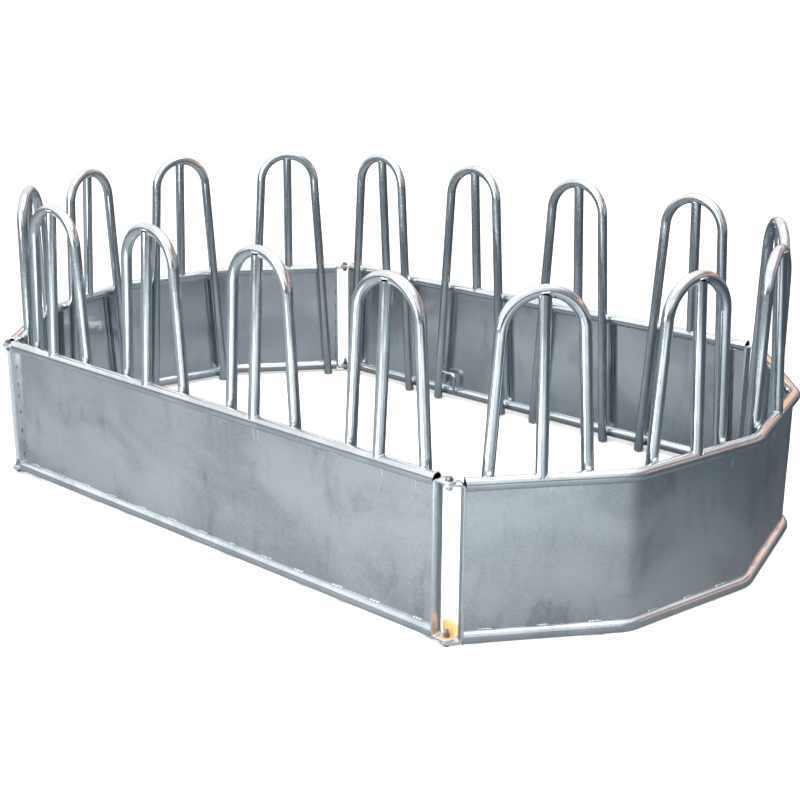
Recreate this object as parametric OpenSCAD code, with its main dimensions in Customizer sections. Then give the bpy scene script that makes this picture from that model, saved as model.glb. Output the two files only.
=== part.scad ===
// Oval hay ring feeder: two straight side panels and two bent end panels,
// each with four headed hoops, pinned together at the four corners.
// Origin: centre of the footprint on the ground. +X along the side panels, +Z up.

/* [Panels] */
// Length of every panel's rails, measured along the rail
panel_len = 2060; // [1900:10:2200]
// Height between the axes of the bottom and top rails
rail_pitch = 480; // [400:5:560]
// Outside diameter of the rails
rail_d = 42.4; // [38:0.1:48]
// Wall of the rails and the hoops
tube_wall = 2.6; // [2:0.1:3.2]
// Height of the bottom rail's axis above the leg ends
rail_drop = 32; // [32:1:60]
// Thickness of the sheet between the rails
sheet_t = 2; // [1.5:0.1:3]

/* [Bent ends] */
// Angle of each of the three bends in an end panel
bend_angle = 26.5; // [20:0.5:30]
// Length of each of the two middle facets
mid_facet = 523; // [500:1:540]
// Radius of those bends, at the rail's axis
bend_r = 120; // [90:5:150]

/* [Hoops] */
// Distance between the hoops of one panel
hoop_pitch = 532; // [520:1:540]
// How far the hoops sit towards the last end of a side panel
side_shift = 10; // [0:1:20]
// How far the hoops sit towards the first end of an end panel
end_shift = 10; // [0:1:20]
// Outside diameter of the hoops and their centre bars
hoop_d = 38; // [34:0.1:42]
// Angle by which each leg leans towards the hoop's middle
leg_lean = 3.5; // [2:0.1:5]
// Radius of the arch at the tube's axis
arch_r = 122; // [110:1:135]
// Height of the hoop's highest point above the leg ends
hoop_top = 1076; // [950:1:1200]
// How far out from the arch's axis the centre bar meets it
bar_offset = 6; // [0:1:12]

/* [Corner brackets] */
// Width of the flat bar
flat_w = 40; // [35:1:50]
// Thickness of the flat bar
flat_t = 8; // [6:1:8]
// Distance from the end of the rails to the corner pin
pin_reach = 46; // [44:1:56]
// Outside radius of the bracket's two bends
flat_bend_r = 16; // [14:1:18]
// Height of the lower ear's underside above the leg ends
low_ear_z = 18; // [18:1:22]

/* [Fasteners] */
// Diameter of the corner bolts
bolt_d = 12; // [10:1:12]
// Length under the head of the upper corner bolts, whose heads are on top
bolt_len = 35; // [35:1:45]
// Length under the head of the lower corner bolts, whose ends point up
low_bolt_len = 45; // [42:1:50]

/* [Hidden] */
$fn = 64;
cut = 0.5;                      // overshoot of cutting tools
seam_w = 1.6;                   // band over the joint of a straight tube and its bend
seam_rise = 0.05;
seam_gap = 0.2;
sheet_steps = 12;               // straight strips in each bend of the sheet
weld_gap = 0.2;                 // room for the weld between fitted parts
ear_gap = 0.3;                  // running gap between stacked ears
pin_clear = 0.05;               // radial clearance of the corner pins
rail_r = rail_d / 2;
hoop_r = hoop_d / 2;
top_z = rail_drop + rail_pitch; // axis of the top rail
hoop_in = rail_r + hoop_r + weld_gap; // hoop plane, inwards of the rails
arch_z = hoop_top - hoop_r - arch_r;  // centre of the arch
leg_foot = arch_r * cos(leg_lean) + (arch_z + arch_r * sin(leg_lean)) * tan(leg_lean);
bar_tilt = atan((hoop_in - bar_offset) / (hoop_top - hoop_r - top_z));
vent_d = 9;                     // galvanising vent beside each centre bar
vent_angle = 78;                // its place on the arch
vent_tilt = 50;                 // how far below level it faces

high_ear_z = top_z;             // underside of the upper ear
stack_rise = flat_t + ear_gap;  // side panels' ears lie on the end panels'
washer_d = 24;
washer_t = 2.5;
head_t = 7.5;
nut_t = 10;
hex_r = 9 / cos(30);            // 18 mm across flats

end_facet = panel_len / 2 - mid_facet;
facet_len = [end_facet, mid_facet, mid_facet, end_facet];
facet_start = [0, end_facet, end_facet + mid_facet, end_facet + 2 * mid_facet];
bend_cut = bend_r * tan(bend_angle / 2);  // straight length lost on each side of a bend

function heading(k) = 90 + (k - 1.5) * bend_angle;
function ray(a) = [cos(a), sin(a)];
pin_x = panel_len / 2 + pin_reach;
half_width = facet_len[0] * sin(heading(0)) + facet_len[1] * sin(heading(1)) + pin_reach * sin(heading(0));
// Corners of the bent end's centre line, from the near end to the far end
function corner(k) = k == 0
    ? [pin_x, -half_width] + pin_reach * ray(heading(0))
    : corner(k - 1) + facet_len[k - 1] * ray(heading(k - 1));

lock_w = 56;                    // yellow lock tab at one corner
lock_h = 50;
lock_y = 16;
lock_chamfer = 11;
lock_base = 34;

rod_r = 7.5;                    // tie rod on the back panel
rod_z = 118;
rod_run = 76;
rod_bend = 18;
rod_y = rail_r + rod_r + weld_gap;

tube_grey = [0.74, 0.77, 0.79];
sheet_grey = [0.60, 0.64, 0.67];
flat_grey = [0.68, 0.71, 0.73];
bolt_grey = [0.52, 0.54, 0.56];
lock_yellow = [0.93, 0.72, 0.28];

LONG_SIDES = ["front", "back"];
END_SIDES = ["right", "left"];
SIDES = concat(LONG_SIDES, END_SIDES);
PANEL_PARTS = ["top_rail", "bottom_rail", "sheet", "bracket_a", "bracket_b",
    "hoop_1", "hoop_2", "hoop_3", "hoop_4", "bar_1", "bar_2", "bar_3", "bar_4"];
FASTENERS = ["bolts", "nuts", "washers"];

// ---- places ----

// A side panel is drawn along X with its inner side towards +Y
module on_side(s) {
    rotate([0, 0, s == "back" ? 180 : 0])
        translate([0, -half_width, stack_rise])
            children();
}

// The right end panel is drawn in place; the left one is the same turned half round
module on_end(s) {
    rotate([0, 0, s == "left" ? 180 : 0])
        children();
}

// Facet k of an end panel, with X along it from its first corner and +Y inwards
module on_facet(k) {
    translate([corner(k)[0], corner(k)[1], 0])
        rotate([0, 0, heading(k)])
            children();
}

// The bend between facets k - 1 and k, seen from the centre of its arc
module on_bend(k) {
    translate([bend_centre(k)[0], bend_centre(k)[1], 0])
        rotate([0, 0, heading(k - 1) - 90])
            children();
}

// Centre of the arc between facets k - 1 and k
function bend_centre(k) = corner(k)
    + bend_r / cos(bend_angle / 2) * ray(heading(k) - bend_angle / 2 + 90);

// Where the straight part of facet k starts, and how long it is
function straight_from(k) = k == 0 ? 0 : bend_cut;
function straight_len(k) = facet_len[k] - straight_from(k) - (k == 3 ? 0 : bend_cut);

// ---- shared shapes ----

module ring(r) {
    difference() {
        circle(r);
        circle(r - tube_wall);
    }
}

module straight_tube(r, len) {
    rotate([0, 90, 0])
        linear_extrude(len)
            ring(r);
}

// A bent tube is drawn as rods: straight ones, arcs, and a thin seam band over each joint of the two
module seam(r) {
    translate([0, 0, -seam_w / 2])
        cylinder(r = r + seam_rise, h = seam_w);
}

module hex(h) {
    cylinder(r = hex_r, h = h, $fn = 6);
}

// ---- rails and sheets ----

module side_rail(z) {
    translate([-panel_len / 2, 0, z])
        straight_tube(rail_r, panel_len);
}

module end_rail_rod(r) {
    for (k = [0 : 3])
        on_facet(k) {
            from = straight_from(k);
            to = from + straight_len(k);
            translate([from + (k == 0 ? 0 : seam_gap), 0, 0])
                rotate([0, 90, 0])
                    cylinder(r = r, h = to - from - (k == 0 || k == 3 ? 1 : 2) * seam_gap);
            for (x = [if (k > 0) from, if (k < 3) to])
                translate([x, 0, 0])
                    rotate([0, 90, 0])
                        seam(r);
        }
    for (k = [1 : 3])
        on_bend(k)
            rotate_extrude(angle = bend_angle)
                translate([bend_r, 0])
                    circle(r);
}

module end_rail(z) {
    translate([0, 0, z])
        difference() {
            end_rail_rod(rail_r);
            end_rail_rod(rail_r - tube_wall);
        }
}

module side_sheet() {
    translate([-panel_len / 2, -sheet_t / 2, rail_drop + rail_r])
        cube([panel_len, sheet_t, rail_pitch - rail_d]);
}

// One edge of the bent sheet, offset to the right of the panel's centre line
function sheet_edge(offset) = concat(
    [corner(0) + offset * ray(heading(0) - 90)],
    [for (k = [1 : 3]) for (i = [0 : sheet_steps])
        bend_centre(k) + (bend_r + offset) * ray(heading(k - 1) - 90 + i * bend_angle / sheet_steps)],
    [corner(4) + offset * ray(heading(3) - 90)]);
function turned_round(points) = [for (i = [len(points) - 1 : -1 : 0]) points[i]];

module end_sheet() {
    translate([0, 0, rail_drop + rail_r])
        linear_extrude(rail_pitch - rail_d)
            polygon(concat(sheet_edge(sheet_t / 2), turned_round(sheet_edge(-sheet_t / 2))));
}

// ---- hoops ----

module leg_rod(side, r) {
    translate([side * arch_r * cos(leg_lean), 0, arch_z + arch_r * sin(leg_lean)])
        rotate([0, 180 - side * leg_lean, 0]) {
            translate([0, 0, seam_gap])
                cylinder(r = r, h = (arch_z + 2 * hoop_d) / cos(leg_lean));
            seam(r);
        }
}

module hoop_rod(r) {
    leg_rod(-1, r);
    leg_rod(1, r);
    translate([0, 0, arch_z])
        rotate([90, 0, 0])
            rotate([0, 0, leg_lean])
                rotate_extrude(angle = 180 - 2 * leg_lean)
                    translate([arch_r, 0])
                        circle(r);
}

module vent() {
    translate([arch_r * cos(vent_angle), 0, arch_z + arch_r * sin(vent_angle)])
        rotate([90 + vent_tilt, 0, 0])
            cylinder(d = vent_d, h = 2 * hoop_r, $fn = 24);
}

// One bent tube, its two legs cut flat at the ground
module hoop(x) {
    translate([x, hoop_in, 0])
        difference() {
            hoop_rod(hoop_r);
            hoop_rod(hoop_r - tube_wall);
            vent();
            translate([-2 * arch_r, -2 * hoop_d, -4 * hoop_d])
                cube([4 * arch_r, 4 * hoop_d, 4 * hoop_d]);
        }
}

// The straight bar from the top rail up to the arch, fish-mouthed at both ends
module centre_bar(x) {
    reach = hoop_top - 2 * hoop_r - top_z;
    translate([x, 0, top_z])
        difference() {
            rotate([-bar_tilt, 0, 0])
                linear_extrude((reach + hoop_r / 2) / cos(bar_tilt))
                    ring(hoop_r);
            rotate([0, 90, 0])
                cylinder(r = rail_r + weld_gap, h = 3 * rail_d, center = true);
            translate([0, hoop_in, arch_z - top_z])
                rotate([90, 0, 0])
                    rotate_extrude(angle = 180)
                        translate([arch_r, 0])
                            circle(hoop_r + weld_gap);
        }
}

// ---- corner brackets ----

module bracket_outline(grow) {
    low = low_ear_z - grow;
    high = high_ear_z + flat_t + grow;
    r = flat_bend_r + grow;
    translate([-grow, low + r])
        square([pin_reach + flat_w, high - low - 2 * r]);
    translate([r - grow, low])
        square([pin_reach + flat_w, high - low]);
    for (z = [low + r, high - r])
        translate([r - grow, z])
            circle(r);
}

// Flat bar bent into a C: a plate across the rail ends and an ear at each end of it
module bracket() {
    difference() {
        intersection() {
            rotate([90, 0, 0])
                linear_extrude(flat_w, center = true)
                    difference() {
                        bracket_outline(0);
                        bracket_outline(-flat_t);
                    }
            linear_extrude(top_z + 2 * flat_w)
                union() {
                    translate([0, -flat_w / 2])
                        square([pin_reach, flat_w]);
                    translate([pin_reach, 0])
                        circle(flat_w / 2);
                }
        }
        translate([pin_reach, 0, 0])
            cylinder(r = bolt_d / 2 + pin_clear, h = top_z + 2 * flat_w);
    }
}

module side_bracket(end) {
    translate([end * panel_len / 2, 0, 0])
        rotate([0, 0, end > 0 ? 0 : 180])
            bracket();
}

// ---- corner fasteners, in a side panel's own place ----

module at_pins() {
    for (x = [-pin_x, pin_x])
        translate([x, 0, 0])
            children();
}

// Tops of the two stacks of ears, and the undersides of the washers below them
ear_tops = [low_ear_z + flat_t, high_ear_z + flat_t];
stack_t = 2 * flat_t + 2 * ear_gap;
washer_floors = [for (z = ear_tops) z - stack_t - washer_t];

module bolt(len) {
    hex(head_t);
    translate([0, 0, -len])
        cylinder(d = bolt_d, h = len);
}

module bolts() {
    at_pins() {
        translate([0, 0, ear_tops[1] + washer_t])
            bolt(bolt_len);
        translate([0, 0, washer_floors[0]])
            rotate([180, 0, 0])
                bolt(low_bolt_len);
    }
}

module nuts() {
    at_pins()
        for (z = [ear_tops[0] + washer_t, washer_floors[1] - nut_t])
            translate([0, 0, z])
                difference() {
                    hex(nut_t);
                    translate([0, 0, -cut])
                        cylinder(r = bolt_d / 2 + pin_clear, h = nut_t + 2 * cut);
                }
}

module washer() {
    difference() {
        cylinder(d = washer_d, h = washer_t);
        translate([0, 0, -cut])
            cylinder(d = bolt_d + 1, h = washer_t + 2 * cut);
    }
}

// The lock tab takes the place of the washer under one nut
module washers(s) {
    at_pins()
        for (z = concat(washer_floors, [ear_tops[1]]))
            translate([0, 0, z])
                washer();
    for (x = [-pin_x, if (s == "back") pin_x])
        translate([x, 0, ear_tops[0]])
            washer();
}

module lock_tab() {
    translate([pin_x, 0, ear_tops[0]]) {
        difference() {
            translate([-lock_base / 2, -lock_base / 2, 0])
                cube([lock_base, lock_base / 2 + lock_y + washer_t, washer_t]);
            translate([0, 0, -cut])
                cylinder(d = bolt_d + 1, h = washer_t + 2 * cut);
        }
        translate([0, lock_y + washer_t, 0])
            rotate([90, 0, 0])
                linear_extrude(washer_t)
                    polygon([
                        [-lock_base / 2, 0], [lock_base / 2, 0],
                        [lock_w / 2, 9], [lock_w / 2, lock_h - lock_chamfer],
                        [lock_w / 2 - lock_chamfer, lock_h], [lock_chamfer - lock_w / 2, lock_h],
                        [-lock_w / 2, lock_h - lock_chamfer], [-lock_w / 2, 9]]);
    }
}

// Bent rod from a hoop leg down to the bottom rail, for tying the feeder
module tie_rod() {
    leg_x = hoop_pitch / 2 + side_shift + leg_foot - rod_z * tan(leg_lean);
    turn_x = leg_x - rod_run;
    translate([0, rod_y, 0])
        difference() {
            union() {
                translate([turn_x + rod_bend, 0, rod_z])
                    rotate([0, 90, 0])
                        cylinder(r = rod_r, h = rod_run - rod_bend);
                translate([turn_x, 0, rail_drop - rod_r])
                    cylinder(r = rod_r, h = rod_z - rod_bend - rail_drop + rod_r);
                translate([turn_x + rod_bend, 0, rod_z - rod_bend])
                    rotate([90, 0, 0])
                        rotate([0, 0, 90])
                            rotate_extrude(angle = 90)
                                translate([rod_bend, 0])
                                    circle(rod_r);
            }
            translate([leg_x, hoop_in - rod_y, 0])
                cylinder(r = hoop_r + 1, h = 2 * rod_z);
        }
}

// ---- the pieces of one panel ----

module panel_place(s, k) {
    if (s == "front" || s == "back")
        on_side(s)
            translate([(k - 1.5) * hoop_pitch + side_shift, 0, 0])
                children();
    else
        on_end(s)
            on_facet(k)
                translate([panel_len / 2 + (k - 1.5) * hoop_pitch - end_shift - facet_start[k], 0, 0])
                    children();
}

module panel_rail(s, z) {
    color(tube_grey)
        if (s == "front" || s == "back")
            on_side(s) side_rail(z);
        else
            on_end(s) end_rail(z);
}

module panel_sheet(s) {
    color(sheet_grey)
        if (s == "front" || s == "back")
            on_side(s) side_sheet();
        else
            on_end(s) end_sheet();
}

// Bracket a is at the panel's first end and b at its last, going round anticlockwise
module panel_bracket(s, last) {
    color(flat_grey)
        if (s == "front" || s == "back")
            on_side(s) side_bracket(last ? 1 : -1);
        else
            on_end(s)
                on_facet(last ? 3 : 0)
                    translate([last ? end_facet : 0, 0, 0])
                        rotate([0, 0, last ? 0 : 180])
                            bracket();
}

for (s = SIDES) {
    panel_rail(s, top_z);
    panel_rail(s, rail_drop);
    panel_sheet(s);
    panel_bracket(s, false);
    panel_bracket(s, true);
    for (k = [0 : 3]) {
        color(tube_grey) panel_place(s, k) hoop(0);
        color(tube_grey) panel_place(s, k) centre_bar(0);
    }
}
for (s = LONG_SIDES) {
    color(bolt_grey) on_side(s) bolts();
    color(bolt_grey) on_side(s) nuts();
    color(bolt_grey) on_side(s) washers(s);
}
color(tube_grey) on_side("back") tie_rod();  // back_tie_rod
color(lock_yellow) on_side("front") lock_tab();  // front_lock_tab
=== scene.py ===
import math
import random
import bpy
import numpy as np
from mathutils import Matrix, Vector


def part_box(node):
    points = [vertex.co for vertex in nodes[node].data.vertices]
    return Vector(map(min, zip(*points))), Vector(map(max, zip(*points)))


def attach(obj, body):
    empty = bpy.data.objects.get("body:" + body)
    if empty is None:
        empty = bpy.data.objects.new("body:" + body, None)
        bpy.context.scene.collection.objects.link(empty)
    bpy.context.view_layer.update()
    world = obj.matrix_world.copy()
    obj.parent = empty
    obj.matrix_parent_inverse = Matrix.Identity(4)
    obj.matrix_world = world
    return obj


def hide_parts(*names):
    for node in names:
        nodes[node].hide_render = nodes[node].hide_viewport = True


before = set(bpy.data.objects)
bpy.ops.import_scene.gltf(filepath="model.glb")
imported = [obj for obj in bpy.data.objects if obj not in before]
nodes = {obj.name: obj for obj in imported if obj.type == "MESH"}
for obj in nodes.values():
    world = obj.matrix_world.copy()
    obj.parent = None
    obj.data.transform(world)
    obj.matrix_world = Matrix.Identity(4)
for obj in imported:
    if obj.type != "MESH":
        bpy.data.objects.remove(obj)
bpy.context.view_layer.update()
scene = bpy.context.scene
panels = ["front", "right", "back", "left"]
hoopsPerPanel = 4
print("frame loaded:", len(nodes), "nodes")


# helpers for node trees

def newGroup(name, inputs, outputs):
    group = bpy.data.node_groups.new(name, "ShaderNodeTree")
    for label, value in inputs.items():
        socket = group.interface.new_socket(label, in_out="INPUT", socket_type="NodeSocketFloat")
        socket.default_value = value
    for label in outputs:
        group.interface.new_socket(label, in_out="OUTPUT", socket_type="NodeSocketFloat")
    entry = group.nodes.new("NodeGroupInput")
    leave = group.nodes.new("NodeGroupOutput")
    return group, entry, leave


def node(tree, kind, **values):
    made = tree.nodes.new("ShaderNode" + kind)
    for key, value in values.items():
        setattr(made, key, value)
    return made


def mathNode(tree, operation, first, second):
    made = node(tree, "Math", operation=operation)
    for socket, value in zip(made.inputs, (first, second)):
        if isinstance(value, (int, float)):
            socket.default_value = value
        else:
            tree.links.new(value, socket)
    return made.outputs[0]


def objectPoint(tree, stretch=(1, 1, 1), place=(0, 0, 0)):
    where = node(tree, "TexCoord")
    mapping = node(tree, "Mapping")
    mapping.inputs["Scale"].default_value = stretch
    mapping.inputs["Location"].default_value = place
    tree.links.new(where.outputs["Object"], mapping.inputs["Vector"])
    return mapping.outputs["Vector"]


def noiseOf(tree, vector, scale, detail, roughness=0.5, distortion=0.0):
    made = node(tree, "TexNoise")
    made.inputs["Detail"].default_value = detail
    made.inputs["Roughness"].default_value = roughness
    made.inputs["Distortion"].default_value = distortion
    if isinstance(scale, (int, float)):
        made.inputs["Scale"].default_value = scale
    else:
        tree.links.new(scale, made.inputs["Scale"])
    tree.links.new(vector, made.inputs["Vector"])
    return made.outputs["Fac"]


def spread(tree, value, low, high, toLow=0.0, toHigh=1.0):
    made = node(tree, "MapRange", interpolation_type="SMOOTHSTEP")
    tree.links.new(value, made.inputs["Value"])
    for label, number in zip(("From Min", "From Max", "To Min", "To Max"), (low, high, toLow, toHigh)):
        made.inputs[label].default_value = number
    return made.outputs["Result"]


def blendColour(tree, factor, first, second):
    made = node(tree, "Mix", data_type="RGBA")
    for label, value in (("A", first), ("B", second)):
        if isinstance(value, tuple):
            made.inputs[label].default_value = (*value, 1)
        else:
            tree.links.new(value, made.inputs[label])
    tree.links.new(factor, made.inputs["Factor"])
    return made.outputs["Result"]


def sideOf(tree, vector, direction):
    # how far a vector leans or reaches towards a direction
    made = node(tree, "VectorMath", operation="DOT_PRODUCT")
    made.inputs[1].default_value = direction
    tree.links.new(vector, made.inputs[0])
    return made.outputs["Value"]


# camera, light and floor

cameraSet = {
    "place": (3.3138, -3.7429, 1.9301),
    "pitch": 72.007,
    "turn": 40.788,
    "roll": 0.339,
    "lens": 61.45,
    "sensor": 36.0,
    "farthest": 200,
}


def turned(axis, degrees):
    return Matrix.Rotation(math.radians(degrees), 4, axis)


def makeCamera():
    data = bpy.data.cameras.new("camera")
    data.lens = cameraSet["lens"]
    data.sensor_width = cameraSet["sensor"]
    data.clip_end = cameraSet["farthest"]
    camera = bpy.data.objects.new("camera", data)
    scene.collection.objects.link(camera)
    aim = turned("Z", cameraSet["turn"]) @ turned("X", cameraSet["pitch"]) @ turned("Z", cameraSet["roll"])
    camera.matrix_world = Matrix.Translation(cameraSet["place"]) @ aim
    scene.camera = camera


# each softbox: where it stands, what it faces, its size, strength and tint
softboxes = {
    "overhead": ((0.5, -0.5, 6.0), (0, 0, 0), (6.0, 5.0), 200, (1.0, 1.0, 1.0)),
    "cornerSide": ((4.6, -3.6, 2.6), (2.3, -1.6, 0), (2.0, 2.0), 510, (1.0, 0.99, 0.98)),
    "sunSide": ((-0.4, -7.0, 2.6), (0, 0, 0.4), (4.2, 4.6), 310, (1.0, 0.99, 0.97)),
    "insideFill": ((-0.1, -0.4, 2.4), (-0.5, 0.95, 0.3), (2.2, 1.2), 45, (1.0, 1.0, 1.0)),
}
# these light the faces turned to them, and the zinc doesn't mirror them
unmirrored = ("cornerSide", "insideFill")
# bright card flat on the ground, left of the camera, that the upright tubes mirror
groundCard = {"place": (1.2, -3.7, 0.02), "size": (1.6, 3.4), "turn": 20, "power": 44}


def makeSoftbox(name, place, target, size, power, tint):
    data = bpy.data.lights.new(name, "AREA")
    data.shape = "RECTANGLE"
    data.size, data.size_y = size
    data.energy = power
    data.color = tint
    light = bpy.data.objects.new(name, data)
    scene.collection.objects.link(light)
    away = (Vector(target) - Vector(place)).to_track_quat("-Z", "Y")
    light.matrix_world = Matrix.Translation(place) @ away.to_matrix().to_4x4()
    light.visible_camera = False
    return light


def makeLights():
    for name, (place, target, size, power, tint) in softboxes.items():
        light = makeSoftbox(name, place, target, size, power, tint)
        light.visible_glossy = name not in unmirrored
    place, white = Vector(groundCard["place"]), (1, 1, 1)
    above = place + Vector((0, 0, 1))
    card = makeSoftbox("groundCard", place, above, groundCard["size"], groundCard["power"], white)
    faceUp = turned("Z", groundCard["turn"]) @ turned("X", 180)
    card.matrix_world = Matrix.Translation(place) @ faceUp


skySet = {
    # height of the look-up direction, and the sky's colour there
    "bands": [
        (0.00, (0.12, 0.14, 0.16)),
        (0.10, (0.24, 0.26, 0.28)),
        (0.24, (0.66, 0.68, 0.70)),
        (0.38, (1.00, 1.00, 1.00)),
        (0.60, (1.00, 1.00, 1.00)),
        (1.00, (0.90, 0.94, 0.98)),
    ],
    # a darker yard on one side, low down, and a thin warm line of roofs beyond the feeder
    "shade": (0.26, 0.28, 0.30), "shadeSide": (0.80, 0.60, 0.0), "shadeSpread": (0.25, 0.75),
    "shadeHeights": (0.55, 0.85),
    "warm": (1.5, 0.55, 0.24), "warmSide": (0.0, 1.0, 0.0), "warmSpread": (0.25, 0.50),
    "warmHeights": (0.27, 0.31, 0.36, 0.40),
    "strength": 1.3,
    "backdrop": (1.0, 1.0, 1.0),
}


def makeSky():
    world = bpy.data.worlds.new("sky")
    scene.world = world
    world.use_nodes = True
    tree = world.node_tree
    tree.nodes.clear()
    out = node(tree, "OutputWorld")
    mix = node(tree, "MixShader")
    rays = node(tree, "LightPath")
    backdrop = node(tree, "Background")
    backdrop.inputs["Color"].default_value = (*skySet["backdrop"], 1)
    sky = node(tree, "Background")
    sky.inputs["Strength"].default_value = skySet["strength"]
    where = node(tree, "TexCoord").outputs["Generated"]
    split = node(tree, "SeparateXYZ")
    ramp = node(tree, "ValToRGB")
    stops = ramp.color_ramp.elements
    while len(stops) < len(skySet["bands"]):
        stops.new(0.5)
    for stop, (height, colour) in zip(stops, skySet["bands"]):
        stop.position = height
        stop.color = (*colour, 1)
    tree.links.new(where, split.inputs[0])
    height = split.outputs["Z"]
    tree.links.new(height, ramp.inputs["Fac"])
    shade = mathNode(
        tree, "MULTIPLY", spread(tree, sideOf(tree, where, skySet["shadeSide"]), *skySet["shadeSpread"]),
        spread(tree, height, *skySet["shadeHeights"], 1.0, 0.0))
    colour = blendColour(tree, shade, ramp.outputs["Color"], skySet["shade"])
    rise, full, fade, end = skySet["warmHeights"]
    glow = mathNode(
        tree, "MULTIPLY", spread(tree, height, rise, full), spread(tree, height, fade, end, 1.0, 0.0))
    beyond = spread(tree, sideOf(tree, where, skySet["warmSide"]), *skySet["warmSpread"])
    glow = mathNode(tree, "MULTIPLY", glow, beyond)
    tree.links.new(blendColour(tree, glow, colour, skySet["warm"]), sky.inputs["Color"])
    tree.links.new(rays.outputs["Is Camera Ray"], mix.inputs["Fac"])
    tree.links.new(sky.outputs[0], mix.inputs[1])
    tree.links.new(backdrop.outputs[0], mix.inputs[2])
    tree.links.new(mix.outputs[0], out.inputs["Surface"])


# the zinc mirrors a darker yard than the camera sees: light before the feeder, dark blue behind it
floorSet = {
    "size": 60.0, "pale": (0.93, 0.93, 0.94), "rough": 0.8, "shine": 0.2,
    "mirroredNear": (0.2, 0.221, 0.234), "mirroredFar": (0.04, 0.052, 0.062),
    "nearSide": (-0.45, -0.89), "span": (-1.9, 0.9),
    "glow": 0.45, "glowFrom": 2.5, "glowFull": 7.0,
}


def makeFloor():
    bpy.ops.object.select_all(action="DESELECT")
    bpy.ops.mesh.primitive_plane_add(size=floorSet["size"])
    floor = bpy.context.object
    floor.name = "floor"
    material = bpy.data.materials.new("paleFloor")
    material.use_nodes = True
    tree = material.node_tree
    shader = tree.nodes["Principled BSDF"]
    shader.inputs["Roughness"].default_value = floorSet["rough"]
    shader.inputs["Specular IOR Level"].default_value = floorSet["shine"]
    rays = node(tree, "LightPath")
    where = node(tree, "TexCoord").outputs["Object"]
    nearMask = spread(tree, sideOf(tree, where, (*floorSet["nearSide"], 0)), *floorSet["span"])
    mirrored = blendColour(tree, nearMask, floorSet["mirroredFar"], floorSet["mirroredNear"])
    colour = blendColour(tree, rays.outputs["Is Glossy Ray"], floorSet["pale"], mirrored)
    tree.links.new(colour, shader.inputs["Base Color"])
    # away from the feeder the floor fades into the white backdrop
    reach = node(tree, "VectorMath", operation="LENGTH")
    tree.links.new(where, reach.inputs[0])
    fade = spread(
        tree, reach.outputs["Value"], floorSet["glowFrom"], floorSet["glowFull"], 0, floorSet["glow"])
    seen = mathNode(tree, "MULTIPLY", fade, rays.outputs["Is Camera Ray"])
    shader.inputs["Emission Color"].default_value = (1, 1, 1, 1)
    tree.links.new(seen, shader.inputs["Emission Strength"])
    floor.data.materials.append(material)


makeCamera()
makeLights()
makeSky()
makeFloor()
scene.view_settings.view_transform = "Standard"
print("stage set")


# zinc finishes

# noise behind each effect: stretch, place, scale per metre, detail and the two edges it is drawn between
patterns = {
    "cloud": {"stretch": (1, 1, 1.3), "detail": 3, "distortion": 0.4, "edges": (0.32, 0.68)},
    "smudge": {"stretch": (6, 6, 2.2), "place": (3.1, 1.7, 0.4), "scale": 1.6, "detail": 3,
               "roughness": 0.6, "distortion": 0.6, "edges": (0.52, 0.74)},
    "speckle": {"place": (7.3, 4.1, 2.9), "scale": 130, "detail": 3, "roughness": 0.6,
                "edges": (0.35, 0.70)},
    "streak": {"stretch": (1, 1, 0.035), "detail": 3, "roughness": 0.6, "edges": (0.52, 0.72)},
    "breaks": {"stretch": (1, 1, 0.5), "place": (0.3, 0.9, 2.0), "scale": 9, "detail": 2,
               "edges": (0.42, 0.66)},
    "waves": {"scale": 26, "detail": 2},
    "grain": {"scale": 420, "detail": 3},
    "nibs": {"place": (5, 2, 8), "scale": 210, "detail": 1, "edges": (0.68, 0.80)},
}
spangleSet = {"wanderScale": 160, "wander": 0.012}


def patternOf(group, label, scale=None):
    # a pattern without edges stays plain noise
    look = patterns[label]
    point = objectPoint(group, look.get("stretch", (1, 1, 1)), look.get("place", (0, 0, 0)))
    noise = noiseOf(group, point, look["scale"] if scale is None else scale, look["detail"],
                    look.get("roughness", 0.5), look.get("distortion", 0.0))
    return spread(group, noise, *look["edges"]) if "edges" in look else noise


def makeSpangle():
    # zinc crystals: cells with a random tone each, their borders drawn out by noise
    group, entry, leave = newGroup("zincSpangle", {"Cells per metre": 90.0}, ["Tone", "Facet"])
    point = objectPoint(group)
    wander = node(group, "TexNoise")
    wander.inputs["Scale"].default_value = spangleSet["wanderScale"]
    group.links.new(point, wander.inputs["Vector"])
    push = node(group, "VectorMath", operation="SCALE")
    push.inputs["Scale"].default_value = spangleSet["wander"]
    group.links.new(wander.outputs["Color"], push.inputs[0])
    bent = node(group, "VectorMath", operation="ADD")
    group.links.new(point, bent.inputs[0])
    group.links.new(push.outputs[0], bent.inputs[1])
    cells = node(group, "TexVoronoi")
    group.links.new(entry.outputs["Cells per metre"], cells.inputs["Scale"])
    group.links.new(bent.outputs[0], cells.inputs["Vector"])
    tones = node(group, "SeparateColor")
    group.links.new(cells.outputs["Color"], tones.inputs[0])
    group.links.new(tones.outputs[0], leave.inputs["Tone"])
    group.links.new(tones.outputs[1], leave.inputs["Facet"])
    return group


def makeClouding():
    # broad pale and dull patches left by the zinc bath and by handling
    group, entry, leave = newGroup(
        "zincClouding", {"Patches per metre": 3.0}, ["Cloud", "Smudge", "Speckle"])
    group.links.new(patternOf(group, "cloud", entry.outputs["Patches per metre"]), leave.inputs["Cloud"])
    group.links.new(patternOf(group, "smudge"), leave.inputs["Smudge"])
    group.links.new(patternOf(group, "speckle"), leave.inputs["Speckle"])
    return group


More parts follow.
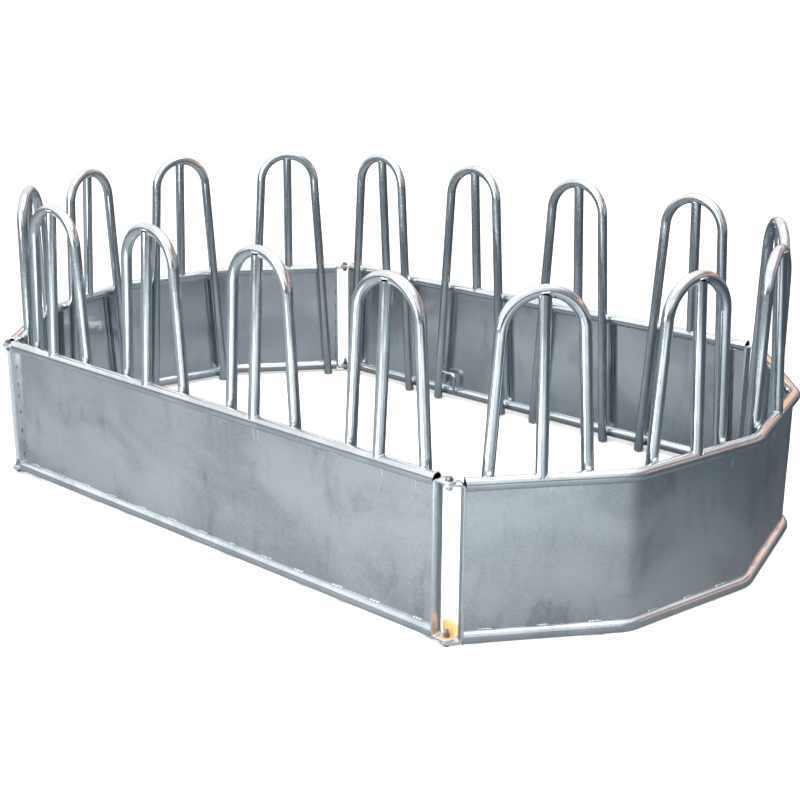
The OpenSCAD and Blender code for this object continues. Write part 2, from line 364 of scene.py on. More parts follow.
def makeRuns():
    # thin upright streaks where the zinc ran off as the panel was lifted from the bath
    group, entry, leave = newGroup("zincRuns", {"Runs per metre": 45.0}, ["Run"])
    streak = patternOf(group, "streak", entry.outputs["Runs per metre"])
    group.links.new(mathNode(group, "MULTIPLY", streak, patternOf(group, "breaks")), leave.inputs["Run"])
    return group


def makeSkin():
    # the uneven skin of dipped zinc: soft waves, a fine grain and a few nibs
    group, entry, leave = newGroup("zincSkin", {"Waves": 1.0, "Grain": 1.0, "Nibs": 1.0}, ["Height"])
    total = 0.0
    for label in ("Waves", "Grain", "Nibs"):
        layer = mathNode(group, "MULTIPLY", patternOf(group, label.lower()), entry.outputs[label])
        total = mathNode(group, "ADD", total, layer)
    group.links.new(total, leave.inputs["Height"])
    return group


spangle, clouding, runs, skin = makeSpangle(), makeClouding(), makeRuns(), makeSkin()


def placed(tree, group, **values):
    made = tree.nodes.new("ShaderNodeGroup")
    made.node_tree = group
    for label, value in values.items():
        made.inputs[label.replace("_", " ")].default_value = value
    return made


# bright and dull zinc colour, how much each effect shows, roughness range and relief in metres
finishes = {
    "galvanised_tube": {
        "bright": (0.71, 0.75, 0.77), "dull": (0.48, 0.53, 0.56), "cells": 60.0, "patches": 5.0,
        "spangle": 0.06, "cloud": 0.35, "speckle": 0.12, "smudge": 0.15, "run": 0.15, "rough": (0.09, 0.18),
        "waves": 0.30, "grain": 0.03, "nibs": 0.08, "relief": 0.0006, "metal": 1.0,
    },
    "galvanised_sheet": {
        "bright": (0.80, 0.82, 0.83), "dull": (0.42, 0.445, 0.465), "cells": 45.0, "patches": 2.6,
        "spangle": 0.02, "cloud": 0.60, "speckle": 0.22, "smudge": 0.35, "run": 0.25, "rough": (0.10, 0.24),
        "waves": 0.6, "grain": 0.02, "nibs": 0.05, "relief": 0.0007, "metal": 1.0,
    },
    "galvanised_flat": {
        "bright": (0.80, 0.83, 0.85), "dull": (0.56, 0.60, 0.63), "cells": 60.0, "patches": 8.0,
        "spangle": 0.10, "cloud": 0.40, "speckle": 0.35, "smudge": 0.30, "run": 0.15, "rough": (0.28, 0.44),
        "waves": 0.6, "grain": 0.15, "nibs": 0.30, "relief": 0.0006, "metal": 1.0,
    },
    # dark zinc; on the sheet-end weld dots it also paints the shade in the gap between bar and sheet
    "zinc_fastener": {
        "bright": (0.30, 0.32, 0.34), "dull": (0.07, 0.08, 0.09), "cells": 400.0, "patches": 30.0,
        "spangle": 0.30, "cloud": 0.60, "speckle": 0.3, "smudge": 0.60, "run": 0.0, "rough": (0.22, 0.42),
        "waves": 0.4, "grain": 0.5, "nibs": 0.4, "relief": 0.0003, "metal": 1.0,
    },
    # the orange base colour is a painted reflection of the warm band of roofs, which the plate mirrors
    "yellow_zinc": {
        "bright": (0.66, 0.38, 0.17), "dull": (0.54, 0.28, 0.10), "cells": 500.0, "patches": 26.0,
        "spangle": 0.20, "cloud": 0.50, "speckle": 0.15, "smudge": 0.40, "run": 0.0, "rough": (0.45, 0.60),
        "waves": 0.3, "grain": 0.3, "nibs": 0.2, "relief": 0.0003, "metal": 0.3,
    },
}


# how much of a spot's roughness comes from the clouding and from the crystals
roughShares = {"cloud": 0.9, "crystals": 0.1}


def makeFinish(name, look):
    material = bpy.data.materials.new(name)
    material.use_nodes = True
    tree = material.node_tree
    shader = tree.nodes["Principled BSDF"]
    shader.inputs["Metallic"].default_value = look["metal"]
    crystals = placed(tree, spangle, Cells_per_metre=look["cells"])
    patches = placed(tree, clouding, Patches_per_metre=look["patches"])
    streaks = placed(tree, runs)
    surface = placed(tree, skin, Waves=look["waves"], Grain=look["grain"], Nibs=look["nibs"])
    effects = {
        "cloud": patches.outputs["Cloud"], "smudge": patches.outputs["Smudge"],
        "speckle": patches.outputs["Speckle"], "spangle": crystals.outputs["Tone"]}
    dulling, total = 0.0, 0.0
    for label, mask in effects.items():
        dulling = mathNode(tree, "ADD", dulling, mathNode(tree, "MULTIPLY", mask, look[label]))
        total += look[label]
    colour = blendColour(tree, spread(tree, dulling, 0.0, total), look["bright"], look["dull"])
    colour = blendColour(
        tree, mathNode(tree, "MULTIPLY", streaks.outputs["Run"], look["run"]), colour, look["bright"])
    tree.links.new(colour, shader.inputs["Base Color"])
    low, high = look["rough"]
    rough = mathNode(
        tree, "ADD", mathNode(tree, "MULTIPLY", patches.outputs["Cloud"], roughShares["cloud"]),
        mathNode(tree, "MULTIPLY", crystals.outputs["Facet"], roughShares["crystals"]))
    tree.links.new(spread(tree, rough, 0.0, 1.0, low, high), shader.inputs["Roughness"])
    bump = node(tree, "Bump")
    bump.inputs["Distance"].default_value = look["relief"]
    tree.links.new(surface.outputs["Height"], bump.inputs["Height"])
    tree.links.new(bump.outputs["Normal"], shader.inputs["Normal"])
    return material


materials = {name: makeFinish(name, look) for name, look in finishes.items()}
for part in nodes.values():
    slotName = part.data.materials[0].name
    part.data.materials.clear()
    part.data.materials.append(materials[slotName])
print("finishes made:", ", ".join(materials))


# where the panels, hoops and corners are

tubes = {
    "railRadius": (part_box("front_top_rail")[1].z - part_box("front_top_rail")[0].z) / 2,
    "hoopRadius": (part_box("front_bar_1")[1].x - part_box("front_bar_1")[0].x) / 2,
    "archRadius": 0.122,
    "legLean": 3.5,
    "barOffset": 0.006,
    "sheetThickness": 0.002,
    "weldGap": 0.0002,
    "pinReach": 0.046,
}
hoopIn = tubes["railRadius"] + tubes["hoopRadius"] + tubes["weldGap"]


def corners(name):
    return np.array([v.co for v in nodes[name].data.vertices])


def middle(name):
    low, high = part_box(name)
    return (low + high) / 2


def hoopFrame(panel, number):
    # X along the rail, Y inwards and Z up, from the point under the hoop on the rail's axis
    flat = corners(f"{panel}_hoop_{number}")[:, :2]
    centre = middle(f"{panel}_hoop_{number}").xy
    spreadOut = np.linalg.eigh(np.cov((flat - flat.mean(0)).T))[1][:, 1]
    along = Vector(spreadOut)
    inward = Vector((-along.y, along.x))
    if inward.dot(centre) > 0:
        along, inward = -along, -inward
    origin = centre - inward * hoopIn
    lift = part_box(f"{panel}_hoop_{number}")[0].z
    return Matrix((
        (along.x, inward.x, 0, origin.x),
        (along.y, inward.y, 0, origin.y),
        (0, 0, 1, lift),
        (0, 0, 0, 1)))


hoopFrames = {
    panel: [hoopFrame(panel, number) for number in range(1, hoopsPerPanel + 1)] for panel in panels}
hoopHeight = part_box("right_hoop_1")[1].z
railHeights = [middle(f"right_{level}_rail").z for level in ("bottom", "top")]
archHeight = hoopHeight - tubes["hoopRadius"] - tubes["archRadius"]
lean = math.radians(tubes["legLean"])


def legOffset(height):
    shoulder = archHeight + tubes["archRadius"] * math.sin(lean)
    return tubes["archRadius"] * math.cos(lean) + (shoulder - height) * math.tan(lean)


washerSet = {"radius": 0.012, "edge": 0.0004}


def pinPlaces():
    # one vertical pin line at each corner, front right, back right, back left and front left
    low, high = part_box("front_washers")
    across = (high.x - low.x) / 2 - washerSet["radius"]
    depth = abs(middle("front_washers").y)
    return {
        ("front", 1): Vector((across, -depth, 0)), ("front", -1): Vector((-across, -depth, 0)),
        ("back", 1): Vector((-across, depth, 0)), ("back", -1): Vector((across, depth, 0)),
    }


# small helpers for modelling

def startPiece():
    if bpy.context.object and bpy.context.object.mode != "OBJECT":
        bpy.ops.object.mode_set(mode="OBJECT")
    bpy.ops.object.select_all(action="DESELECT")


def selectVerts(piece, test):
    # picks the vertices that pass the test, and leaves the piece in edit mode
    bpy.ops.object.mode_set(mode="OBJECT")
    for edge in piece.data.edges:
        edge.select = False
    for face in piece.data.polygons:
        face.select = False
    for vert in piece.data.vertices:
        vert.select = bool(test(vert.co))
    bpy.ops.object.mode_set(mode="EDIT")
    bpy.ops.mesh.select_mode(type="VERT")


def selectFaces(piece, test):
    bpy.ops.object.mode_set(mode="EDIT")
    bpy.ops.mesh.select_mode(type="FACE")
    bpy.ops.mesh.select_all(action="DESELECT")
    bpy.ops.object.mode_set(mode="OBJECT")
    for face in piece.data.polygons:
        face.select = bool(test(face))
    bpy.ops.object.mode_set(mode="EDIT")


def applyModifier(piece, kind, **values):
    bpy.context.view_layer.objects.active = piece
    modifier = piece.modifiers.new(kind.lower(), kind)
    for key, value in values.items():
        setattr(modifier, key, value)
    bpy.ops.object.modifier_apply(modifier=modifier.name)


def copyTo(master, place):
    made = bpy.data.objects.new(master.name, master.data.copy())
    scene.collection.objects.link(made)
    made.data.transform(place)
    return made


def joined(parts, name):
    startPiece()
    for part in parts:
        part.select_set(True)
    bpy.context.view_layer.objects.active = parts[0]
    if len(parts) > 1:
        bpy.ops.object.join()
    piece = bpy.context.view_layer.objects.active
    piece.name = name
    piece.data.name = name
    return piece


# faces that meet at less than this many degrees are shaded as one
smoothing = {"bead": 60, "sheet": 40, "rolledEdge": 35, "fastener": 28}


def finishPiece(piece, panel, slotName, kind):
    startPiece()
    piece.select_set(True)
    bpy.context.view_layer.objects.active = piece
    bpy.ops.object.transform_apply(location=True, rotation=True, scale=True)
    bpy.ops.object.shade_smooth_by_angle(angle=math.radians(smoothing[kind]))
    piece.data.materials.clear()
    piece.data.materials.append(materials[slotName])
    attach(piece, f"{panel}_panel")
    return piece


def removeMaster(master):
    mesh = master.data
    bpy.data.objects.remove(master)
    bpy.data.meshes.remove(mesh)


# how near counts as the same spot, level or height, and how many degrees count as flat
merging = {"sameSpot": 0.00002, "sameLevel": 1e-6, "sameHeight": 1e-5, "flat": 0.5}


def mergedCopy(nodeName, name):
    # a CAD node's mesh with its loose triangles merged, left in edit mode
    startPiece()
    piece = bpy.data.objects.new(name, nodes[nodeName].data.copy())
    scene.collection.objects.link(piece)
    piece.select_set(True)
    bpy.context.view_layer.objects.active = piece
    bpy.ops.mesh.customdata_custom_splitnormals_clear()
    bpy.ops.object.mode_set(mode="EDIT")
    bpy.ops.mesh.select_all(action="SELECT")
    bpy.ops.mesh.remove_doubles(threshold=merging["sameSpot"])
    bpy.ops.mesh.dissolve_limited(angle_limit=math.radians(merging["flat"]))
    return piece


# weld beads

beadSet = {
    "radius": 0.0027, "topRadius": 0.0024, "step": 0.0026, "sides": 8, "rings": 5, "voxel": 0.0011,
    "wander": 0.0004, "sizes": (0.88, 1.12),
    # the patch that a leg's bead runs round, and how far the others stand off and above the tubes
    "legPatch": 0.0125, "footGap": 0.0004, "topGap": 0.0005, "proud": 0.001, "saddleLonger": 1.1,
    # how far to either side of a rail's axis the beads on it go
    "sideReach": 0.0172,
}


def beadAlong(name, path, radius=None, seed=1):
    # a row of overlapping drops of metal, fused into one skin
    radius = radius or beadSet["radius"]
    luck = random.Random(seed)
    startPiece()
    bpy.ops.mesh.primitive_uv_sphere_add(
        segments=beadSet["sides"], ring_count=beadSet["rings"], radius=radius)
    drop = bpy.context.object
    wander = beadSet["wander"]
    drops = []
    for point in path:
        nudge = Vector([luck.uniform(-wander, wander) for axis in range(3)])
        size = luck.uniform(*beadSet["sizes"])
        drops.append(copyTo(drop, Matrix.Translation(Vector(point) + nudge) @ Matrix.Scale(size, 4)))
    removeMaster(drop)
    bead = joined(drops, name)
    applyModifier(bead, "REMESH", mode="VOXEL", voxel_size=beadSet["voxel"])
    return bead


def stepsAlong(length):
    return max(2, int(round(length / beadSet["step"])))


def roundPath(reach, longer=1.0):
    # points round a circle, a bead step apart
    steps = stepsAlong(2 * math.pi * reach * longer)
    turns = [2 * math.pi * step / steps for step in range(steps)]
    return [(reach * math.cos(turn), reach * math.sin(turn)) for turn in turns]


def legBeadPath():
    # round the patch where an upright leg touches the inner side of a level rail
    path = []
    for aside, up in roundPath(beadSet["legPatch"]):
        fromLeg = aside ** 2 / (4 * tubes["hoopRadius"])
        fromRail = up ** 2 / (4 * tubes["railRadius"])
        path.append((aside, tubes["railRadius"] + fromLeg - fromRail, up))
    return path


def barFootPath():
    # the saddle where a centre bar stands on the top rail
    path = []
    for aside, inward in roundPath(tubes["hoopRadius"] + beadSet["footGap"], beadSet["saddleLonger"]):
        if inward > -beadSet["sideReach"]:
            up = math.sqrt(max(0.0, tubes["railRadius"] ** 2 - inward ** 2))
            path.append((aside, inward, up + beadSet["proud"]))
    return path


def barTopPath():
    # the saddle where a centre bar meets the underside of the arch
    path = []
    for aside, inward in roundPath(tubes["hoopRadius"] + beadSet["topGap"], beadSet["saddleLonger"]):
        inward -= tubes["barOffset"]
        tubeDrop = math.sqrt(max(0.0, tubes["hoopRadius"] ** 2 - inward ** 2))
        archDrop = tubes["archRadius"] - math.sqrt(tubes["archRadius"] ** 2 - aside ** 2)
        height = hoopHeight - tubes["hoopRadius"] - tubeDrop - archDrop - beadSet["proud"]
        path.append((aside, hoopIn + inward, height))
    return path


def makeHoopWelds():
    masters = {
        "leg": beadAlong("legBead", legBeadPath(), seed=3),
        "foot": beadAlong("footBead", barFootPath(), seed=4),
        "top": beadAlong("topBead", barTopPath(), beadSet["topRadius"], seed=5),
    }
    for panel in panels:
        parts = []
        for frameHere in hoopFrames[panel]:
            parts.append(copyTo(masters["foot"], frameHere @ Matrix.Translation((0, 0, railHeights[1]))))
            parts.append(copyTo(masters["top"], frameHere))
            for height in railHeights:
                for side in (-1, 1):
                    place = Matrix.Translation((side * legOffset(height), 0, height))
                    parts.append(copyTo(masters["leg"], frameHere @ place))
        finishPiece(joined(parts, f"{panel}_hoop_welds"), panel, "galvanised_tube", "bead")
    for master in masters.values():
        removeMaster(master)


stitchSet = {
    "length": 0.036, "pitch": 0.148, "topPitch": 0.30, "margin": 0.07, "radius": 0.0032, "seed": 7,
    "offSkin": 0.001, "offRail": 0.0006, "wander": 0.012, "stretch": (0.75, 1.2), "bendRoom": 0.035,
}


def straightPath(start, end):
    start, end = Vector(start), Vector(end)
    steps = stepsAlong((end - start).length)
    return [start.lerp(end, step / steps) for step in range(steps + 1)]


def facetSpans(panel):
    # each straight stretch of a panel: its frame, and how far it runs each way from the hoop's foot
    frames = hoopFrames[panel]
    pins = pinPlaces()
    spans = []
    if panel in ("front", "back"):
        half = (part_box(f"{panel}_sheet")[1].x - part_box(f"{panel}_sheet")[0].x) / 2
        shift = frames[0].inverted() @ Vector((0, frames[0].translation.y, 0))
        return [(frames[0], shift.x - half, shift.x + half)]
    firstPanel, lastPanel = ("front", "back") if panel == "right" else ("back", "front")
    first, last = pins[(firstPanel, 1)], pins[(lastPanel, -1)]
    bendRoom = stitchSet["bendRoom"]
    for number, here in enumerate(frames):
        back = here.inverted()
        if number == 0:
            low = (back @ first).x + tubes["pinReach"]
        else:
            low = meeting(frames[number - 1], here) + bendRoom
        if number == len(frames) - 1:
            high = (back @ last).x - tubes["pinReach"]
        else:
            high = meeting(frames[number + 1], here) - bendRoom
        spans.append((here, low, high))
    return spans


def meeting(other, here):
    # how far along this facet its line meets the next facet's line
    local = here.inverted() @ other
    along, place = local.col[0].xy, local.translation.xy
    return place.x - place.y * along.x / along.y


def makeSheetWelds():
    half = stitchSet["length"] / 2
    stitch = beadAlong(
        "stitch", straightPath((-half, 0, 0), (half, 0, 0)), stitchSet["radius"], stitchSet["seed"])
    skinOut = tubes["sheetThickness"] / 2 + stitchSet["offSkin"]
    edge = tubes["railRadius"] + stitchSet["offRail"]
    wander = stitchSet["wander"]
    for panel in panels:
        luck = random.Random(panel)
        parts = []
        for here, low, high in facetSpans(panel):
            room = high - low - 2 * stitchSet["margin"]
            for level, pitch in ((0, stitchSet["pitch"]), (1, stitchSet["topPitch"])):
                height = railHeights[level] + (edge if level == 0 else -edge)
                count = max(1, int(room / pitch) + 1)
                gap = room / max(1, count - 1)
                for number in range(count):
                    across = low + stitchSet["margin"] + number * gap + luck.uniform(-wander, wander)
                    # below, all outside; above, by turns inside and outside
                    side = -skinOut if level == 0 or number % 2 else skinOut
                    place = Matrix.Translation((across, side, height))
                    stretch = Matrix.Diagonal((luck.uniform(*stitchSet["stretch"]), 1, 1, 1))
                    parts.append(copyTo(stitch, here @ place @ stretch))
        finishPiece(joined(parts, f"{panel}_sheet_welds"), panel, "galvanised_tube", "bead")
    removeMaster(stitch)


def panelEnds(panel):
    # the two end frames of a panel: X runs out of the rail's end towards the pin
    spans = facetSpans(panel)
    firstFrame, low, _ = spans[0]
    lastFrame, _, high = spans[-1]
    return [
        firstFrame @ Matrix.Translation((low, 0, 0)) @ turned("Z", 180),
        lastFrame @ Matrix.Translation((high, 0, 0)),
    ]


railEndSet = {"radius": 0.0028, "offRail": 0.0006, "sunk": 0.0005, "seed": 11}
dotSet = {
    "radius": 0.0022, "length": 0.012, "sunk": 0.0008, "count": 6, "side": 0.0020, "wander": 0.02,
    "stretch": (0.5, 1.5), "seed": 12,
}


def makeBracketWelds():
    # runs over and under each rail's end, and dots down the sheet's edge, all against the bracket plate;
    # the dots are welds in the dark fastener finish, which also paints the shade in the gap between bar and
    # sheet
    circle = roundPath(tubes["railRadius"] + railEndSet["offRail"])
    onPlate = [(-railEndSet["sunk"], aside, up) for aside, up in circle
               if abs(aside) < beadSet["sideReach"]]
    ring = beadAlong("ring", onPlate, railEndSet["radius"], railEndSet["seed"])
    sunk, dotLength, dotCount = -dotSet["sunk"], dotSet["length"], dotSet["count"]
    dot = beadAlong(
        "dot", straightPath((sunk, 0, 0), (sunk, 0, dotLength)), dotSet["radius"], dotSet["seed"])
    bottom, top = railHeights[0] + tubes["railRadius"], railHeights[1] - tubes["railRadius"]
    wander = dotSet["wander"]
    for panel in panels:
        luck = random.Random(panel + "dots")
        rings, dots = [], []
        for end in panelEnds(panel):
            for height in railHeights:
                rings.append(copyTo(ring, end @ Matrix.Translation((0, 0, height))))
            for number in range(dotCount):
                height = bottom + (top - bottom - dotLength) * (number + 0.5) / dotCount
                for side in (-dotSet["side"], dotSet["side"]):
                    place = Matrix.Translation((0, side, height + luck.uniform(-wander, wander)))
                    stretch = Matrix.Diagonal((1, 1, luck.uniform(*dotSet["stretch"]), 1))
                    dots.append(copyTo(dot, end @ place @ stretch))
        finishPiece(joined(rings, f"{panel}_rail_end_welds"), panel, "galvanised_flat", "bead")
        # the weld dots are dark partly as welds and partly as painted shade in the gap between bracket and
        # sheet edge
        finishPiece(joined(dots, f"{panel}_sheet_end_welds_with_painted_shade"), panel, "zinc_fastener", "bead")
    removeMaster(ring)
    removeMaster(dot)


# corner brackets with their rolled edges

bracketSet = {"edge": 0.0011, "lockEdge": 0.0007, "segments": 2, "sharper": 50}


def roundedCopy(nodeName, name, panel, slotName, edge):
    piece = mergedCopy(nodeName, name)
    bpy.ops.object.mode_set(mode="OBJECT")
    applyModifier(piece, "BEVEL", width=edge, segments=bracketSet["segments"],
                  limit_method="ANGLE", angle_limit=math.radians(bracketSet["sharper"]))
    finishPiece(piece, panel, slotName, "rolledEdge")
    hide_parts(nodeName)


def makeBrackets():
    for panel in panels:
        for end in ("a", "b"):
            roundedCopy(f"{panel}_bracket_{end}", f"{panel}_flat_bar_{end}", panel, "galvanised_flat",
                        bracketSet["edge"])
    # the lock plate takes the orange finish, a painted reflection of the warm roofs
    roundedCopy("front_lock_tab", "front_lock_plate", "front", "yellow_zinc", bracketSet["lockEdge"])


# corner bolts, nuts and washers

hexSet = {
    "radius": 0.009 / math.cos(math.pi / 6), "head": 0.0075, "nut": 0.010, "chamfer": 0.0011,
    "slant": 1.7, "cutterOver": 1.002, "cutterSides": 48, "crown": 0.82, "crownHeight": 0.0006,
    "upward": 0.9, "roundSides": 40,
}
# the shanks are a little slimmer than their bores, so that the corners turn
boltSet = {
    "radius": 0.0059, "upper": 0.035, "lower": 0.045, "threaded": 0.026, "pitch": 0.00175,
    "firstRing": 0.6, "root": 0.87, "tip": 0.94, "boreGap": 0.00005, "boreOver": 1.2, "sides": 28,
}


def turnedRound(name, sides, radius, depth, height):
    # a round or six-sided bar about the Z axis, centred at a height
    startPiece()
    bpy.ops.mesh.primitive_cylinder_add(
        vertices=sides, radius=radius, depth=depth, location=(0, 0, height))
    bar = bpy.context.object
    bar.name = name
    bpy.ops.object.transform_apply(location=True, rotation=True, scale=True)
    return bar


def trimmed(piece, cutter, operation):
    startPiece()
    piece.select_set(True)
    applyModifier(piece, "BOOLEAN", object=cutter, operation=operation, solver="EXACT")
    removeMaster(cutter)
    return piece


def chamferedHex(name, height, bothEnds):
    prism = turnedRound(name, 6, hexSet["radius"], height, height / 2)
    cutterRadius = hexSet["radius"] * hexSet["cutterOver"]
    cutter = turnedRound("cutter", hexSet["cutterSides"], cutterRadius, height, height / 2)
    # the round cutter's caps are inset and their rims drawn back, so that it takes corners off at a slant
    near = merging["sameLevel"]
    for level in ((0, height) if bothEnds else (height,)):
        selectFaces(cutter, lambda face: abs(face.center.z - level) < near and len(face.vertices) > 4)
        bpy.ops.mesh.inset(thickness=hexSet["chamfer"] * hexSet["slant"])
        rim = cutterRadius - merging["sameHeight"]
        selectVerts(cutter, lambda co: abs(co.z - level) < near and co.xy.length > rim)
        step = hexSet["chamfer"] * (1 if level < height / 2 else -1)
        bpy.ops.transform.translate(value=(0, 0, step))
    bpy.ops.object.mode_set(mode="OBJECT")
    return trimmed(prism, cutter, "INTERSECT")


def threadedShank(name, length):
    # hangs down from z = 0; every second ring over the threaded end is drawn in to the root
    shank = turnedRound(name, boltSet["sides"], boltSet["radius"], length, -length / 2)
    turns = int(boltSet["threaded"] / boltSet["pitch"])
    heights = [-length + boltSet["pitch"] * (boltSet["firstRing"] + half / 2) for half in range(2 * turns)]
    for height in heights:
        bpy.ops.object.mode_set(mode="EDIT")
        bpy.ops.mesh.select_all(action="SELECT")
        bpy.ops.mesh.bisect(plane_co=(0, 0, height), plane_no=(0, 0, 1))
    roots = heights[::2]
    near = merging["sameLevel"]
    selectVerts(shank, lambda co: any(abs(co.z - root) < near for root in roots))
    narrow = boltSet["root"]
    bpy.ops.transform.resize(value=(narrow, narrow, 1), center_override=(0, 0, 0))
    selectVerts(shank, lambda co: abs(co.z + length) < near)
    narrow *= boltSet["tip"]
    bpy.ops.transform.resize(value=(narrow, narrow, 1), center_override=(0, 0, 0))
    bpy.ops.object.mode_set(mode="OBJECT")
    return shank


def makeBolt(name, length):
    head = chamferedHex(name, hexSet["head"], False)
    crownHeight = hexSet["crownHeight"]
    crownRadius = hexSet["radius"] * hexSet["crown"]
    crown = turnedRound("crown", hexSet["roundSides"], crownRadius, crownHeight, hexSet["head"])
    selectFaces(crown, lambda face: face.normal.z > hexSet["upward"])
    bpy.ops.mesh.inset(thickness=crownHeight)
    bpy.ops.object.mode_set(mode="OBJECT")
    return joined([head, crown, threadedShank("shank", length)], name)


def makeNut(name):
    nut = chamferedHex(name, hexSet["nut"], True)
    boreRadius = boltSet["radius"] + boltSet["boreGap"]
    boreDepth = hexSet["nut"] * boltSet["boreOver"]
    bore = turnedRound("bore", hexSet["roundSides"], boreRadius, boreDepth, hexSet["nut"] / 2)
    return trimmed(nut, bore, "DIFFERENCE")


def makeFasteners():
    upperBolt = makeBolt("upperBolt", boltSet["upper"])
    lowerBolt = makeBolt("lowerBolt", boltSet["lower"])
    nut = makeNut("nut")
    upsideDown = turned("X", 180)
    for panel in ("front", "back"):
        luck = random.Random(panel)
        washerLow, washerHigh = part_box(f"{panel}_washers")
        nutLow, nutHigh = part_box(f"{panel}_nuts")
        boltParts, nutParts = [], []
        for (side, _), pin in pinPlaces().items():
            if side != panel:
                continue
            levels = [washerHigh.z, washerLow.z, nutLow.z, nutHigh.z - hexSet["nut"]]
            turns = [Matrix.Rotation(luck.uniform(0, math.pi), 4, "Z") for level in levels]
            spots = [Matrix.Translation(pin + Vector((0, 0, z))) @ turn for z, turn in zip(levels, turns)]
            boltParts.append(copyTo(upperBolt, spots[0]))
            boltParts.append(copyTo(lowerBolt, spots[1] @ upsideDown))
            nutParts += [copyTo(nut, spots[2]), copyTo(nut, spots[3])]
        for parts, kind in ((boltParts, "bolts"), (nutParts, "nuts")):
            piece = finishPiece(joined(parts, f"{panel}_hex_{kind}"), panel, "zinc_fastener", "fastener")
            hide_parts(f"{panel}_{kind}")
        roundedCopy(f"{panel}_washers", f"{panel}_flat_washers", panel, "zinc_fastener", washerSet["edge"])
    for master in (upperBolt, lowerBolt, nut):
        removeMaster(master)


# sheets with the soft dents that welding leaves

sheetSet = {
    "rows": 9, "cell": 0.05, "dent": 0.0042, "dentWidth": 0.30,
    "smallestFace": 0.0015, "levelFace": 0.5, "outward": 0.3,
}


def makeSheet(panel):
    nodeName = f"{panel}_sheet"
    piece = mergedCopy(nodeName, f"{panel}_dented_sheet")
    outer = [frameHere.translation.xy for frameHere in hoopFrames[panel]]

    def isOuter(face):
        # level and tiny faces are edges, and the skin's faces look outwards from the nearest hoop
        if abs(face.normal.z) > sheetSet["levelFace"] or face.area < sheetSet["smallestFace"]:
            return False
        nearest = min(outer, key=lambda spot: (spot - face.center.xy).length)
        inward = hoopFrames[panel][outer.index(nearest)].col[1].xy
        return face.normal.xy.dot(inward) < -sheetSet["outward"]

    selectFaces(piece, lambda face: not isOuter(face))
    bpy.ops.mesh.delete(type="FACE")
    # level cuts first, then upright cuts across every long stretch
    low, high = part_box(nodeName)
    for row in range(1, sheetSet["rows"]):
        bpy.ops.mesh.select_all(action="SELECT")
        height = low.z + (high.z - low.z) * row / sheetSet["rows"]
        bpy.ops.mesh.bisect(plane_co=(0, 0, height), plane_no=(0, 0, 1))
    bpy.ops.mesh.select_mode(type="EDGE")
    bpy.ops.mesh.select_all(action="DESELECT")
    bpy.ops.object.mode_set(mode="OBJECT")
    longest = 0.0
    for edge in piece.data.edges:
        first, second = (piece.data.vertices[index].co for index in edge.vertices)
        isLevel = abs(first.z - second.z) < merging["sameHeight"]
        edge.select = (first - second).length > 2 * sheetSet["cell"] and isLevel
        if edge.select:
            longest = max(longest, (first - second).length)
    bpy.ops.object.mode_set(mode="EDIT")
    bpy.ops.mesh.subdivide(number_cuts=int(longest / sheetSet["cell"]))
    bpy.ops.object.mode_set(mode="OBJECT")
    dents = bpy.data.textures.new("dents", "CLOUDS")
    dents.noise_scale = sheetSet["dentWidth"]
    dents.noise_depth = 1
    applyModifier(piece, "DISPLACE", texture=dents, texture_coords="LOCAL", strength=sheetSet["dent"])
    applyModifier(piece, "SUBSURF", levels=1, render_levels=1, subdivision_type="SIMPLE")
    applyModifier(piece, "SOLIDIFY", thickness=tubes["sheetThickness"], offset=-1)
    finishPiece(piece, panel, "galvanised_sheet", "sheet")
    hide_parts(nodeName)


# drips and runs of zinc

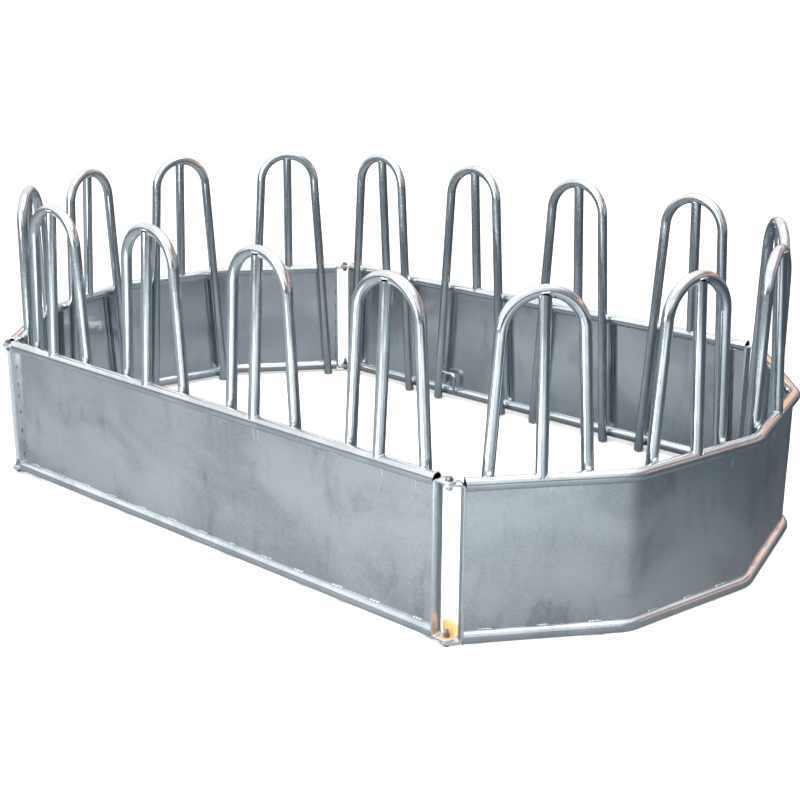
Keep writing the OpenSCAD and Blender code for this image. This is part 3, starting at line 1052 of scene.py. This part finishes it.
dripSet = {
    "radius": 0.0021, "hang": 0.006, "sizes": (0.6, 1.0), "wander": 0.003, "below": 0.003,
    "runRadius": 0.0016, "runLength": 0.03, "runStretch": (0.8, 2.4), "runWidth": (0.6, 1.1),
    "runDepth": 0.6, "runDrop": 0.028, "perFacet": 3, "margin": 0.03, "facet": 0.5,
    # level of each narrowing, how narrow, and how much of the tail it draws out
    "tail": ((0.1, 0.75, 0.25), (0.5, 0.6, 0.35), (0.85, 0.5, 0.4)),
}


def makeTear(name, radius, length):
    # a drop drawn out upwards into a thin tail
    startPiece()
    bpy.ops.mesh.primitive_uv_sphere_add(segments=10, ring_count=8, radius=radius)
    tear = bpy.context.object
    tear.name = name
    for level, narrow, rise in dripSet["tail"]:
        selectVerts(tear, lambda co: co.z > radius * level)
        bpy.ops.transform.resize(value=(narrow, narrow, 1), center_override=(0, 0, 0))
        bpy.ops.transform.translate(value=(0, 0, length * rise))
    bpy.ops.object.mode_set(mode="OBJECT")
    return tear


def makeDrips():
    drip = makeTear("drip", dripSet["radius"], dripSet["hang"])
    run = makeTear("run", dripSet["runRadius"], dripSet["runLength"])
    underside = railHeights[0] - tubes["railRadius"] - dripSet["below"]
    ceiling = railHeights[1] - tubes["railRadius"]
    margin, wander = dripSet["margin"], dripSet["wander"]
    for panel in panels:
        luck = random.Random(panel + "drips")
        parts = []
        for here, low, high in facetSpans(panel):
            count = dripSet["perFacet"] * max(1, round((high - low) / dripSet["facet"]))
            for number in range(count):
                across = luck.uniform(low + margin, high - margin)
                size = luck.uniform(*dripSet["sizes"])
                place = Matrix.Translation((across, luck.uniform(-wander, wander), underside))
                parts.append(copyTo(drip, here @ place @ Matrix.Scale(size, 4)))
            for number in range(count):
                across = luck.uniform(low + margin, high - margin)
                # two in three run down the outer side
                side = luck.choice((-1, -1, 1)) * tubes["sheetThickness"] / 2
                length = luck.uniform(*dripSet["runStretch"])
                place = Matrix.Translation((across, side, ceiling - dripSet["runDrop"] * length))
                width = luck.uniform(*dripSet["runWidth"])
                shape = Matrix.Diagonal((width, dripSet["runDepth"], length, 1))
                parts.append(copyTo(run, here @ place @ shape))
        finishPiece(joined(parts, f"{panel}_zinc_drips"), panel, "galvanised_tube", "bead")
    removeMaster(drip)
    removeMaster(run)


makeHoopWelds()
print("hoops welded")
for panel in panels:
    makeSheet(panel)
makeSheetWelds()
print("sheets made")
makeBrackets()
makeBracketWelds()
makeFasteners()
print("corners made")
makeDrips()
print("drips made")
